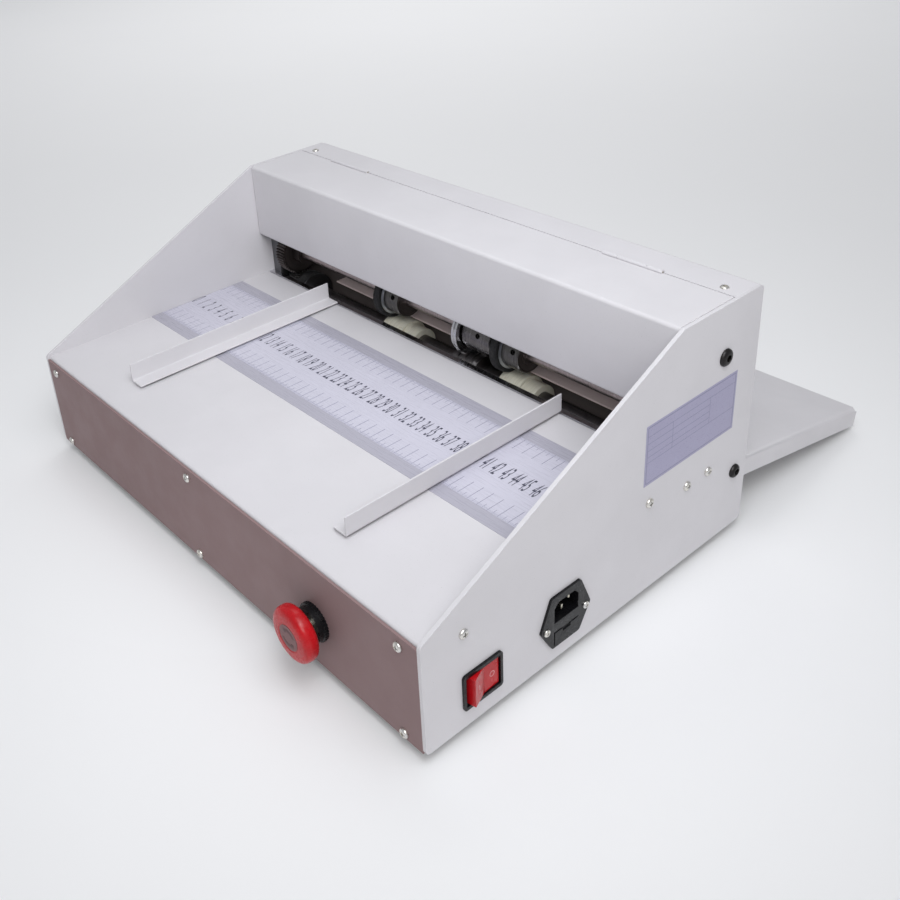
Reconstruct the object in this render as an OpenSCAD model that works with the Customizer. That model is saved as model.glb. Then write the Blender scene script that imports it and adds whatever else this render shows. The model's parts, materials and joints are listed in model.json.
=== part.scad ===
// Desktop paper creasing machine: folded sheet-metal body with a sloped front,
// feed table with sliding guides, driven feed wheels and a creasing head under
// a hinged hood, and a tilting output tray. Millimetres, +Z up, front to -Y.
// The origin is the middle of the bounding box, on the bench.

/* [Body] */
// Width over the side plates
body_w = 521; // [500:1:560]
// Depth of the side plates
body_d = 345; // [343:1:350]
// Height of the side plates above their lower edge
body_h = 210; // [206:1:220]
// Height of the side plates at the front
front_h = 92; // [91:0.5:96]
// Distance from the front to where the slope reaches the top
slope_y = 250; // [240:1:252]
// Thickness of the side plates
plate_t = 3; // [2:0.5:3.5]
// Height of the rubber feet
foot_h = 10; // [8:0.5:14]

/* [Feed table] */
// Height of the table top above the lower edge of the side plates
table_z = 91; // [90.5:0.1:91.5]
// Paper width that the guides are set for
paper_w = 297; // [180:1:480]
// Front edge of the ruled scale plate
scale_y0 = 111.5; // [100:0.5:120]
// Rear edge of the ruled scale plate
scale_y1 = 220.5; // [200:0.5:230]

/* [Feed and creasing] */
// Distance of both shafts from the front
shaft_y = 279.5; // [279:0.5:280]
// Height of the lower shaft
lower_z = 72; // [71.5:0.1:72]
// Radius of the rubber feed wheels
tyre_r = 23.8; // [23:0.1:23.8]
// Radius of the lower rollers and the anvil
roller_r = 18.8; // [18:0.1:18.8]
// Teeth of the gear on the upper shaft
upper_teeth = 48; // [48]
// Teeth of the gear on the lower shaft
lower_teeth = 38; // [38]
// Near faces of the two feed wheels
wheel_x = [-76, 76]; // [-90:1:90]
// Far face of the creasing disc
crease_x = 22; // [10:1:30]

/* [Hood] */
// Front face of the hood
hood_y = 248.8; // [245:0.1:250]
// Lower edge of the hood
hood_z = 135; // [130:1:140]
// Seam between the hinged cover and the rear cover
seam_y = 313; // [310:0.5:316]

/* [Output tray] */
// Fall of the tray towards the rear, in degrees
tray_fall = 11.9; // [8:0.1:12]
// Length of the tray behind its pivot
tray_l = 216; // [150:1:217]
// Height of the tray's folded lips
tray_lip = 18; // [12:0.5:18]

/* [Hidden] */
$fn = 48;
gear_module = 1;
x_in = body_w / 2 - plate_t;
x_out = body_w / 2;
upper_z = lower_z + gear_module * (upper_teeth + lower_teeth) / 2;
sheet_t = 1.5;
table_t = 2;
run_gap = 0.04;
play = 0.4;

// Emergency stop on the front panel
stop_x = 150.5;
stop_z = 40.5;
stop_reach = 24;

// Output tray pivot and the top face of the tray above it
pivot_y = 329;
pivot_z = 53.9;
tray_top = 2.4;
tray_hw = 254;
tray_end_y = pivot_y + tray_l * cos(tray_fall) + tray_top * sin(tray_fall);
origin_y = (tray_end_y - stop_reach) / 2;

// Screw and bolt places on the side plates, as [y, z]
table_screws = [[35.7, 80.8], [221.2, 80.8]];
bearing_screws = [[shaft_y - 13, lower_z], [shaft_y + 13, lower_z]];
tie_at = [302.7, 166.5];
pivot_at = [pivot_y, pivot_z];
panel_screw_x = [-242, -9, 240];
panel_screw_z = [5, 80];
hood_screw_x = 243.5;
hood_screw_y = 321;
foot_at = [[-225, 32], [225, 32], [-225, 313], [225, 313]];

// Switch and inlet on the right side plate
rocker_y = 50.8;
rocker_z = 30.7;
inlet_y = 131;
inlet_screw_z = 32;
drawer_z = 21;

// Hinges in the seam of the hood, as [x0, x1]
hinges = [[-205, -149], [140, 196]];
knuckle_r = 2;
knuckle_part = 14;

// ---- Outlines ----------------------------------------------------------

function unit(v) = v / norm(v);
function left_of(v) = [-v.y, v.x];
function flipped(p) = [for (i = [len(p) - 1 : -1 : 0]) p[i]];
function polar(c, r, a) = c + r * [cos(a), sin(a)];

// Arc of radius r that rounds the corner b between a and c
function corner_arc(a, b, c, r, n = 5) =
    let(
        u = unit(a - b),
        v = unit(c - b),
        half = acos(u * v) / 2,
        centre = b + unit(u + v) * (r / sin(half)),
        p = b + u * (r / tan(half)) - centre,
        q = b + v * (r / tan(half)) - centre,
        start = atan2(p.y, p.x),
        sweep = (atan2(q.y, q.x) - start + 540) % 360 - 180
    )
    [for (i = [0 : n]) polar(centre, r, start + sweep * i / n)];

// Closed outline with every corner rounded
function rounded(p, r) =
    let(n = len(p))
    [for (i = [0 : n - 1]) each corner_arc(p[(i + n - 1) % n], p[i], p[(i + 1) % n], r)];

// Open path with its inner corners rounded
function rounded_path(p, r) =
    let(n = len(p))
    [
        p[0],
        for (i = [1 : 1 : n - 2]) each corner_arc(p[i - 1], p[i], p[i + 1], r),
        p[n - 1]
    ];

// Open path moved to its left by d
function moved_left(p, d) =
    let(n = len(p))
    [
        for (i = [0 : n - 1])
            let(
                before = left_of(unit(i == 0 ? p[1] - p[0] : p[i] - p[i - 1])),
                after = left_of(unit(i == n - 1 ? p[i] - p[i - 1] : p[i + 1] - p[i]))
            )
            p[i] + (before + after) / (1 + before * after) * d
    ];

// Section of a bent sheet: p runs along its outer face, turns left only and
// has the metal on its left
function bent_sheet(p, t, r = 3) =
    concat(rounded_path(p, r), flipped(rounded_path(moved_left(p, t), r - t)));

// Involute gear outline with a little backlash
function involute(a) = tan(a) * 180 / PI - a;
function gear_outline(teeth, thin = 0.12) =
    let(
        pitch_r = gear_module * teeth / 2,
        base_r = pitch_r * cos(20),
        root_r = pitch_r - 1.25 * gear_module,
        tip_r = pitch_r + 0.95 * gear_module,
        low_r = max(base_r + 0.01, root_r),
        half_pitch = 90 / teeth - thin / pitch_r * 180 / PI / 2,
        radii = [for (i = [0 : 3]) low_r + (tip_r - low_r) * i / 3],
        half_at = [for (r = radii) half_pitch + involute(20) - involute(acos(base_r / r))]
    )
    [
        for (k = [0 : teeth - 1])
            let(a = 360 * k / teeth)
            each concat(
                [polar([0, 0], root_r, a - half_at[0] - 0.6)],
                [for (i = [0 : 3]) polar([0, 0], radii[i], a - half_at[i])],
                [for (i = [3 : -1 : 0]) polar([0, 0], radii[i], a + half_at[i])],
                [polar([0, 0], root_r, a + half_at[0] + 0.6)]
            )
    ];

// Belt pulley outline with square-cut grooves
function pulley_outline(teeth, r, depth = 1.2) =
    [
        for (k = [0 : teeth - 1])
            let(a = 360 / teeth)
            each [
                polar([0, 0], r, a * k),
                polar([0, 0], r, a * (k + 0.5)),
                polar([0, 0], r - depth, a * (k + 0.55)),
                polar([0, 0], r - depth, a * (k + 0.95))
            ]
    ];

// Outline of an open belt round a circle r1 at c1 and a circle r2 at c2
function belt_outline(c1, r1, c2, r2, n = 20) =
    let(
        d = c2 - c1,
        line = atan2(d.y, d.x),
        lean = acos((r1 - r2) / norm(d))
    )
    concat(
        [for (i = [0 : n]) polar(c1, r1, line + lean + (360 - 2 * lean) * i / n)],
        [for (i = [0 : n]) polar(c2, r2, line - lean + 2 * lean * i / n)]
    );

// ---- Building blocks ---------------------------------------------------

// Moves from the frame of the side plates' front lower edge to the origin
module place() translate([0, -origin_y, foot_h]) children();

module box(x0, x1, y0, y1, z0, z1)
    translate([x0, y0, z0]) cube([x1 - x0, y1 - y0, z1 - z0]);

module both_sides() {
    children();
    mirror([1, 0, 0]) children();
}

// Extrudes an outline drawn in [y, z] from x0 to x1
module along_x(x0, x1)
    translate([x0, 0, 0]) rotate([90, 0, 90]) linear_extrude(x1 - x0) children();

module rod_x(x0, x1, at, r)
    translate([x0, at[0], at[1]]) rotate([0, 90, 0]) cylinder(r = r, h = x1 - x0);

module rod_y(y0, y1, x, z, r)
    translate([x, y0, z]) rotate([-90, 0, 0]) cylinder(r = r, h = y1 - y0);

module rod_z(z0, z1, x, y, r)
    translate([x, y, z0]) cylinder(r = r, h = z1 - z0);

// Pan-head screw, head on +Z above the origin, shank on -Z
module pan_screw(head_r = 3.8, head_h = 2.4, shank_r = 2, shank_l = 8) {
    difference() {
        rotate_extrude()
            polygon(concat(
                [[0, 0], [head_r, 0], [head_r, head_h * 0.35]],
                [for (i = [1 : 5]) [head_r * cos(i * 15), head_h * (0.35 + 0.65 * sin(i * 18))]],
                [[0, head_h]]
            ));
        for (a = [0, 90])
            rotate([0, 0, a]) translate([-head_r * 0.55, -0.4, head_h * 0.4])
                cube([head_r * 1.1, 0.8, head_h]);
    }
    translate([0, 0, -shank_l]) cylinder(r = shank_r, h = shank_l + 0.2);
}

// Button-head bolt with a hex socket, same placing as pan_screw
module button_bolt(head_r = 7, head_h = 4.2, shank_r = 4, shank_l = 16) {
    difference() {
        rotate_extrude()
            polygon(concat(
                [[0, 0], [head_r, 0], [head_r, 0.6]],
                [for (i = [1 : 6]) [
                    head_r * 0.45 + head_r * 0.55 * cos(i * 15),
                    0.6 + (head_h - 0.6) * sin(i * 15)
                ]],
                [[0, head_h]]
            ));
        translate([0, 0, head_h - 2.6]) cylinder(r = 2.9, h = 3, $fn = 6);
    }
    translate([0, 0, -shank_l]) cylinder(r = shank_r, h = shank_l + 0.2);
}

// Turns a +Z screw so that its head stands on the outer face of the right plate
module on_right_plate(at) translate([x_out, at[0], at[1]]) rotate([0, 90, 0]) children();

// ---- Body --------------------------------------------------------------

paint = [0.80, 0.79, 0.80];

// The right plate; the left one is its mirror image without the cutouts
module side_plate() {
    outline = [[0, 0], [body_d, 0], [body_d, body_h], [slope_y, body_h], [0, front_h]];
    difference() {
        union() {
            along_x(x_in, x_out) polygon(rounded(outline, 4));
            box(x_in - 21, x_in + 1, hood_screw_y - 6, hood_screw_y + 10, body_h - 3.5, body_h - sheet_t);
            box(x_in - 10, x_in + 1, hood_y + 15, hood_y + 29, body_h - 4, body_h - sheet_t - play);
        }
        for (at = concat(table_screws, bearing_screws)) rod_x(x_in - 1, x_out + 1, at, 2.1);
        for (at = [tie_at, pivot_at]) rod_x(x_in - 1, x_out + 1, at, 4.1);
        rod_z(body_h - 9, body_h, hood_screw_x, hood_screw_y, 1.6);
    }
}

module left_side_plate() {
    color(paint) place() mirror([1, 0, 0]) side_plate();
}

module right_side_plate() {
    color(paint) place() difference() {
        side_plate();
        box(x_in - 1, x_out + 1, rocker_y - 16.4, rocker_y + 16.4, rocker_z - 13.4, rocker_z + 13.4);
        box(x_in - 1, x_out + 1, inlet_y - 14.2, inlet_y + 14.2, 13.8, 55.2);
        for (s = [-1, 1]) rod_x(x_in - 1, x_out + 1, [inlet_y + 20 * s, inlet_screw_z], 1.6);
    }
}

// Bottom tray of the body, folded up at the front and the rear
module base_plate() {
    path = [[2, 14], [2, 0], [body_d - 2, 0], [body_d - 2, 14]];
    color([0.6, 0.6, 0.62]) place() difference() {
        along_x(-x_in, x_in) polygon(bent_sheet(path, sheet_t));
        for (x = panel_screw_x) {
            rod_y(-1, 5, x, panel_screw_z[0], 2.1);
            rod_y(body_d - 5, body_d + 1, x, panel_screw_z[0], 2.1);
        }
        for (f = foot_at) rod_z(-1, 3, f[0], f[1], 2.1);
        for (y = [120, 136, 152]) for (x = [-60 : 12 : 0])
            rod_z(-1, 3, x, y, 3);
    }
}

module front_panel() {
    color(paint) place() difference() {
        box(-x_in, x_in, 0, 2, 0, table_z - 2.5);
        for (x = panel_screw_x) {
            rod_y(-1, 3, x, panel_screw_z[0], 2.1);
            rod_y(-1, 3, x, panel_screw_z[1], 2.1);
        }
        rod_y(-1, 3, stop_x, stop_z, 11.2);
    }
}

// Table top with folded front, rear and side flanges
module feed_table() {
    path = [[256, table_z - 7], [256, table_z], [2.3, table_z], [2.3, table_z - 20]];
    color(paint) place() difference() {
        union() {
            along_x(-x_in, x_in) polygon(bent_sheet(path, table_t));
            both_sides() box(x_in - 2, x_in, 20, 236, table_z - 19, table_z - 1);
        }
        for (x = panel_screw_x) rod_y(-1, 6, x, panel_screw_z[1], 2.1);
        both_sides() for (at = table_screws) rod_x(x_in - 4, x_in + 1, at, 2.1);
    }
}

// Polished angle along the rear edge of the table
module table_edge_strip() {
    color([0.85, 0.85, 0.87]) place() union() {
        box(-x_in, x_in, 256, 262, table_z - 1.2, table_z);
        box(-x_in, x_in, 256, 257.2, table_z - 7, table_z - 1);
    }
}

module scale_plate() {
    color([0.85, 0.84, 0.9]) place()
        box(-x_in + 0.3, x_in - 0.3, scale_y0, scale_y1, table_z, table_z + 0.4);
}

// Plate that carries the sheet from the rollers to the rear opening
module exit_plate() {
    path = [[body_d - 2, table_z - 11], [body_d - 2, table_z], [shaft_y + 8.5, table_z]];
    color([0.72, 0.66, 0.64]) place() difference() {
        union() {
            along_x(-x_in, x_in) polygon(bent_sheet(path, sheet_t));
            both_sides() box(x_in - sheet_t, x_in, 300, body_d - 5, table_z - 15, table_z - 1);
        }
        box(-x_in - 1, -183, 280, 303, table_z - 5, table_z + 1);
        box(x_in - 12.5, x_in + 1, 280, 297.5, table_z - 5, table_z + 1);
    }
}

// Fixed rear part of the hood: top strip and rear wall
module rear_cover() {
    path = [
        [body_d - 9, 108], [body_d, 108], [body_d, body_h], [seam_y + 0.4, body_h]
    ];
    color(paint) place() difference() {
        along_x(-x_in, x_in) polygon(bent_sheet(path, sheet_t));
        both_sides() {
            rod_z(body_h - 3, body_h + 1, hood_screw_x, hood_screw_y, 1.7);
        }
        hinge_notches(seam_y - 1, seam_y + knuckle_r + play);
    }
}

module hinge_notches(y0, y1)
    for (h = hinges) box(h[0] - 0.3, h[1] + 0.3, y0, y1, body_h - 3, body_h + 1);

module rear_skirt() {
    color(paint) place() difference() {
        box(-x_in, x_in, body_d - 2, body_d, 0, 28);
        for (x = panel_screw_x) rod_y(body_d - 3, body_d + 1, x, panel_screw_z[0], 2.1);
    }
}

module tie_bar() {
    color([0.7, 0.7, 0.72]) place() difference() {
        rod_x(-x_in, x_in, tie_at, 7);
        both_sides() rod_x(x_in - 22, x_in + 1, tie_at, 4.1);
    }
}

module rubber_feet() {
    color([0.12, 0.12, 0.12]) place() for (f = foot_at)
        difference() {
            translate([f[0], f[1], -foot_h]) cylinder(r1 = 10, r2 = 12, h = foot_h);
            rod_z(-foot_h - 1, 1, f[0], f[1], 2.1);
            rod_z(-foot_h - 1, -foot_h + 5, f[0], f[1], 5);
        }
}

module foot_screws() {
    color([0.7, 0.7, 0.72]) place() for (f = foot_at)
        translate([f[0], f[1], -foot_h + 5]) mirror([0, 0, 1]) pan_screw(shank_l = 11);
}

// Screws of the front panel, the rear skirt and the top of the rear cover
module panel_screws() {
    color([0.85, 0.85, 0.87]) place() {
        for (x = panel_screw_x) {
            for (z = [panel_screw_z[0], panel_screw_z[1]])
                translate([x, 0, z]) rotate([90, 0, 0]) pan_screw(shank_l = 6);
            translate([x, body_d, panel_screw_z[0]]) rotate([-90, 0, 0])
                pan_screw(shank_l = 6);
        }
        both_sides() translate([hood_screw_x, hood_screw_y, body_h])
            pan_screw(head_r = 3.4, head_h = 1.6, shank_r = 1.5, shank_l = 8);
    }
}

module side_screws() {
    color([0.85, 0.85, 0.87]) place() both_sides()
        for (at = concat(table_screws, bearing_screws)) on_right_plate(at) pan_screw(shank_l = 9);
}

module frame_bolts() {
    color([0.2, 0.2, 0.22]) place() both_sides() on_right_plate(tie_at) button_bolt(head_h = 3.2, shank_l = 22);
}

// ---- Shafts and drive --------------------------------------------------

upper_at = [shaft_y, upper_z];
lower_at = [shaft_y, lower_z];
motor_at = [205, 38];
steel = [0.78, 0.78, 0.8];

// Turned piece on a shaft: outline of [radius, x] points
module turned(at, outline)
    translate([0, at[0], at[1]]) rotate([0, 90, 0]) rotate_extrude() polygon(outline);

// Set-screw hole in a hub, a little above the front
module set_screw_hole(x, at)
    translate([x, at[0], at[1]]) rotate([70, 0, 0]) translate([0, 0, 4]) cylinder(r = 2.5, h = 16);

module bearing_block() {
    difference() {
        box(x_in - 12, x_in, shaft_y - 17, shaft_y + 17, lower_z - 14, upper_z + 15);
        rod_x(x_in - 13, x_in - 5, lower_at, 9.52);
        rod_x(x_in - 13, x_in - 5, upper_at, 10.52);
        for (at = [lower_at, upper_at]) rod_x(x_in - 13, x_in + 1, at, 7);
        for (at = bearing_screws) rod_x(x_in - 8, x_in + 1, at, 2.1);
    }
}

module left_bearing_block() {
    color([0.6, 0.61, 0.63]) place() mirror([1, 0, 0]) bearing_block();
}

module right_bearing_block() {
    color([0.6, 0.61, 0.63]) place() bearing_block();
}

module bearing(at, bore, outer)
    turned(at, [
        [bore, x_in - 10], [bore + 1.3, x_in - 10], [bore + 1.3, x_in - 9.6],
        [outer - 1.3, x_in - 9.6], [outer - 1.3, x_in - 10], [outer, x_in - 10],
        [outer, x_in - 5], [bore, x_in - 5]
    ]);

module ball_bearings() {
    color(steel) place() both_sides() {
        bearing(lower_at, 5, 9.5);
        bearing(upper_at, 6 + run_gap, 10.5);
    }
}

module upper_shaft() {
    end = x_in - 4;
    color(steel) place()
        turned(upper_at, [[0, -end], [5.5, -end], [6, 0.5 - end], [6, end - 0.5], [5.5, end], [0, end]]);
}

module lower_shaft() {
    end = x_in - 4;
    step = x_in - 13;
    journal = 5 - run_gap;
    color(steel) place()
        turned(lower_at, [
            [0, -end], [journal, -end], [journal, -step], [10, -step],
            [10, step], [journal, step], [journal, end], [0, end]
        ]);
}

module feed_tyre(x) {
    color([0.1, 0.1, 0.1]) place()
        turned(upper_at, [
            [20, x - 8], [tyre_r - 0.8, x - 8], [tyre_r, x - 7.2],
            [tyre_r, x - 0.8], [tyre_r - 0.8, x], [20, x]
        ]);
}

module feed_hub(x) {
    color([0.66, 0.66, 0.68]) place() difference() {
        turned(upper_at, [
            [6.02, x - 8], [19.98, x - 8], [19.98, x], [17.5, x + 0.6],
            [17.5, x + 18.2], [16.7, x + 19], [6.02, x + 19]
        ]);
        set_screw_hole(x + 13, upper_at);
    }
}

module left_feed_tyre() { feed_tyre(wheel_x[0]); }
module right_feed_tyre() { feed_tyre(wheel_x[1]); }
module left_feed_hub() { feed_hub(wheel_x[0]); }
module right_feed_hub() { feed_hub(wheel_x[1]); }

// Creasing disc with its narrow blade, a groove and the clamping hub
module creasing_head() {
    blade = crease_x + 3;
    color(steel) place() difference() {
        turned(upper_at, [
            [6.02, crease_x], [tyre_r - 0.4, crease_x], [tyre_r - 0.4, blade - 0.8],
            [tyre_r + 0.8, blade - 0.3], [tyre_r + 0.8, blade + 0.3],
            [tyre_r - 0.4, blade + 0.8], [tyre_r - 0.4, crease_x + 6],
            [15, crease_x + 6], [15, crease_x + 8], [17.5, crease_x + 8],
            [17.5, crease_x + 39.2], [16.7, crease_x + 40], [6.02, crease_x + 40]
        ]);
        set_screw_hole(crease_x + 26, upper_at);
    }
}

// Lower anvil with creasing channels, the middle one below the blade
module crease_anvil() {
    blade = crease_x + 3;
    color(steel) place() turned(lower_at, concat(
        [[10.02, blade - 15], [roller_r, blade - 15]],
        [for (k = [-1 : 1]) let(x = blade + 8 * k, w = 1.4 + 0.3 * k) each [
            [roller_r, x - w], [roller_r - 1.5, x - w], [roller_r - 1.5, x + w], [roller_r, x + w]
        ]],
        [[roller_r, blade + 15], [10.02, blade + 15]]
    ));
}

module nylon_roller(x0, x1, x2) {
    color([0.9, 0.87, 0.78]) place()
        turned(lower_at, [
            [10.02, x0], [roller_r - 0.6, x0], [roller_r, x0 + 0.6],
            [roller_r, x1], [16, x1], [16, x2], [10.02, x2]
        ]);
}

module left_nylon_roller() { nylon_roller(-85, -58, -42); }
module right_nylon_roller() { nylon_roller(68, 92, 107); }

module gear(at, teeth, x0, x1, bore, hub_r, hub_x) {
    color([0.72, 0.68, 0.55]) place() difference() {
        union() {
            along_x(x0, x1) translate(at) polygon(gear_outline(teeth));
            rod_x(x1, hub_x, at, hub_r);
        }
        rod_x(x0 - 1, hub_x + 1, at, bore);
    }
}

module upper_gear() { gear(upper_at, upper_teeth, -240, -228, 6.02, 11, -219); }
module lower_gear() { gear(lower_at, lower_teeth, -240.5, -227.5, 10.02, 14, -224.5); }

belt_x = [-220, -210];
driven_r = 18.9;
pinion_r = 9.3;

module pulley(at, teeth, r, flange, bore) {
    difference() {
        union() {
            along_x(belt_x[0] - 0.5, belt_x[1] + 0.5) translate(at) polygon(pulley_outline(teeth, r));
            rod_x(belt_x[0] - 2, belt_x[0] - 0.5, at, flange);
            rod_x(belt_x[1] + 0.5, belt_x[1] + 2, at, flange);
        }
        rod_x(belt_x[0] - 3, belt_x[1] + 3, at, bore);
    }
}

module driven_pulley() {
    color([0.55, 0.56, 0.58]) place() pulley(lower_at, 40, driven_r, 21, 10.02);
}

// Pulley pressed on the motor's output shaft
module motor_pulley() {
    color([0.55, 0.56, 0.58]) place() {
        pulley(motor_at, 20, pinion_r, 11.5, 3.5);
        rod_x(belt_x[0] - 2, -190, motor_at, 4);
    }
}

module drive_belt() {
    gap = 0.35;
    thick = 2;
    color([0.12, 0.12, 0.12]) place() along_x(belt_x[0], belt_x[1]) difference() {
        polygon(belt_outline(motor_at, pinion_r + gap + thick, lower_at, driven_r + gap + thick));
        polygon(belt_outline(motor_at, pinion_r + gap, lower_at, driven_r + gap));
    }
}

module gear_motor() {
    color([0.4, 0.41, 0.43]) place() difference() {
        union() {
            box(-199, -160, motor_at[0] - 30, motor_at[0] + 30, motor_at[1] - 30, motor_at[1] + 30);
            rod_x(-160, -85, motor_at, 28);
            rod_x(-85, -80, motor_at, 20);
        }
        rod_x(-200, -188, motor_at, 4 + run_gap);
    }
}

module motor_bracket() {
    color([0.65, 0.65, 0.67]) place() difference() {
        union() {
            box(-202, -199, motor_at[0] - 34, motor_at[0] + 34, sheet_t, motor_at[1] + 30);
            box(-202, -160, motor_at[0] - 34, motor_at[0] + 34, sheet_t, 4.5);
        }
        rod_x(-203, -198, motor_at, 12);
    }
}

// ---- Electrical parts --------------------------------------------------

module control_board() {
    board = [40, 140, 88, 168];
    color([0.15, 0.4, 0.25]) place() {
        box(board[0], board[1], board[2], board[3], 9.5, 11.1);
        for (x = [board[0] + 5, board[1] - 5]) for (y = [board[2] + 5, board[3] - 5])
            rod_z(sheet_t, 9.6, x, y, 3);
        for (i = [0 : 2]) box(48 + 22 * i, 66 + 22 * i, 95, 110, 11, 26);
        for (i = [0 : 1]) rod_z(11, 40, 60 + 28 * i, 140, 10);
        box(116, 124, 100, 156, 11, 20);
    }
}

module rating_label() {
    color([0.64, 0.62, 0.77]) place() box(x_out, x_out + 0.25, 213.5, 320.5, 98, 148.5);
}

module rounded_plate_x(x0, x1, y, z, hy, hz, r)
    along_x(x0, x1)
        polygon(rounded([[y - hy, z - hz], [y + hy, z - hz], [y + hy, z + hz], [y - hy, z + hz]], r));

rocker_x = x_out - 4.5;

// Block along X round the point [y, z], with half sizes hy and hz
module block_x(x0, x1, at, hy, hz)
    box(x0, x1, at[0] - hy, at[0] + hy, at[1] - hz, at[1] + hz);

module rocker_housing() {
    at = [rocker_y, rocker_z];
    color([0.08, 0.08, 0.08]) place() {
        difference() {
            union() {
                rounded_plate_x(x_out, x_out + 2, rocker_y, rocker_z, 17.8, 15, 2.5);
                block_x(x_out - 24, x_out + 0.1, at, 16.2, 13.2);
            }
            block_x(x_out - 20, x_out + 3, at, 15.6, 12.2);
        }
        rod_z(rocker_z - 12.5, rocker_z + 12.5, rocker_x, rocker_y, 1.5);
        for (u = [-9, 0, 9]) block_x(x_out - 32, x_out - 23.5, at + [u, 0], 3, 0.4);
    }
}

// Rocker, drawn in the off position: the rear half is pressed in
module rocker() {
    half = [[1, -13.6], [8, -13.6], [5.6, 0], [8, 13.6], [1, 13.6], [-5, 8], [-5, -8]];
    color([0.8, 0.1, 0.1]) place() translate([rocker_x, rocker_y, rocker_z - 11.8]) rotate([0, 0, 12])
        difference() {
            linear_extrude(23.6) polygon(half);
            translate([0, 0, -1]) cylinder(r = 1.5 + run_gap, h = 26);
        }
}

// Inlet flange with the socket above and the fuse drawer below
module inlet_housing() {
    flange = [[-14, 13], [14, 13], [25.5, 33], [15, 58], [-15, 58], [-25.5, 33]];
    socket = [[-12.2, 35.2], [12.2, 35.2], [12.2, 47.8], [8.2, 52], [-8.2, 52], [-12.2, 47.8]];
    color([0.08, 0.08, 0.08]) place() difference() {
        union() {
            along_x(x_out, x_out + 2) translate([inlet_y, 0]) polygon(rounded(flange, 2.5));
            box(x_out - 34, x_out + 0.1, inlet_y - 14, inlet_y + 14, 14, 55);
        }
        along_x(x_out - 15, x_out + 3) translate([inlet_y, 0]) polygon(socket);
        box(x_out - 24, x_out + 3, inlet_y - 12.4, inlet_y + 12.4, drawer_z - 6, drawer_z + 6);
        pin_set(0.05);
        for (s = [-1, 1]) rod_x(x_out - 1, x_out + 3, [inlet_y + 20 * s, inlet_screw_z], 1.6);
    }
}

module pin_set(gap = 0)
    for (p = [[-7, 46], [7, 46], [0, 40.5]])
        block_x(x_out - 22, x_out - 2, [inlet_y + p[0], p[1]], 1 + gap, 2 + gap);

module inlet_pins() {
    color([0.85, 0.85, 0.86]) place() pin_set();
}

module inlet_screws() {
    color([0.2, 0.2, 0.2]) place() for (s = [-1, 1])
        translate([2, 0, 0]) on_right_plate([inlet_y + 20 * s, inlet_screw_z])
            pan_screw(head_r = 2.8, head_h = 1.7, shank_r = 1.5, shank_l = 8);
}

module fuse_drawer() {
    color([0.1, 0.1, 0.1]) place() difference() {
        box(x_out - 23, x_out + 2.4, inlet_y - 12, inlet_y + 12, drawer_z - 5.6, drawer_z + 5.6);
        box(x_out - 21, x_out - 0.2, inlet_y - 2.8, inlet_y + 2.8, drawer_z - 0.6, drawer_z + 6);
        box(x_out + 1.2, x_out + 3, inlet_y - 4, inlet_y + 4, drawer_z + 3, drawer_z + 6);
    }
}

module fuse() {
    color([0.85, 0.88, 0.86]) place() rod_x(x_out - 20.6, x_out - 0.6, [inlet_y, drawer_z + 2.2], 2.6);
}

// Collar, bush and nut of the emergency stop
module estop_collar() {
    color([0.1, 0.1, 0.1]) place() {
        difference() {
            union() {
                translate([stop_x, 0, stop_z]) rotate([90, 0, 0]) linear_extrude(3)
                    polygon(pulley_outline(36, 15.2, 0.7));
                rod_y(-7, -2.9, stop_x, stop_z, 13.8);
                rod_y(-0.1, 30, stop_x, stop_z, 11);
            }
            rod_y(-8, 31, stop_x, stop_z, 8.05);
        }
        difference() {
            rod_y(2, 7, stop_x, stop_z, 15);
            rod_y(1, 8, stop_x, stop_z, 11.1);
        }
    }
}

module estop_contact_block() {
    color([0.2, 0.2, 0.22]) place() difference() {
        union() {
            box(stop_x - 15, stop_x + 15, 30, 62, stop_z - 18, stop_z + 18);
            for (s = [-1, 1]) rod_y(61, 65, stop_x + 8 * s, stop_z, 3.5);
        }
        rod_y(29, 37, stop_x, stop_z, 8.05);
    }
}

module estop_plunger() {
    color([0.7, 0.7, 0.72]) place() rod_y(-16, 32, stop_x, stop_z, 8);
}

// Mushroom head with a rounded rim
module estop_head() {
    r = 21.7;
    rim = [for (i = [0 : 5]) [r - 5 + 5 * cos(90 - 18 * i), stop_reach - 5 + 5 * sin(90 - 18 * i)]];
    color([0.8, 0.08, 0.08]) place() translate([stop_x, 0, stop_z]) rotate([90, 0, 0])
        rotate_extrude() polygon(concat(
            [[0, 16.1], [8.05, 16.1], [8.05, 12], [r - 2, 12], [r, 14.5]],
            flipped(rim), [[0, stop_reach]]
        ));
}

// ---- Hood --------------------------------------------------------------

module knuckle(x0, x1)
    difference() {
        rod_x(x0, x1, [seam_y, body_h], knuckle_r);
        rod_x(x0 - 1, x1 + 1, [seam_y, body_h], 1 + run_gap);
    }

leaf_z = [body_h - sheet_t - 1, body_h - sheet_t];

module hinge_fixed_leaves() {
    color(steel) place() for (h = hinges) {
        box(h[0], h[1], seam_y + knuckle_r + play, seam_y + 20, leaf_z[0], leaf_z[1]);
        for (k = [[h[0], h[0] + knuckle_part], [h[1] - knuckle_part, h[1]]]) {
            knuckle(k[0], k[1]);
            box(k[0], k[1], seam_y, seam_y + 3, leaf_z[0], leaf_z[1]);
        }
    }
}

module hinge_moving_leaves() {
    color(steel) place() for (h = hinges) {
        k = [h[0] + knuckle_part + 0.3, h[1] - knuckle_part - 0.3];
        box(h[0], h[1], seam_y - 20, seam_y - knuckle_r - play, leaf_z[0], leaf_z[1]);
        knuckle(k[0], k[1]);
        box(k[0], k[1], seam_y - 3, seam_y, leaf_z[0], leaf_z[1]);
    }
}

module hinge_pins() {
    color([0.6, 0.6, 0.62]) place() for (h = hinges) rod_x(h[0], h[1], [seam_y, body_h], 1);
}

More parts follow.
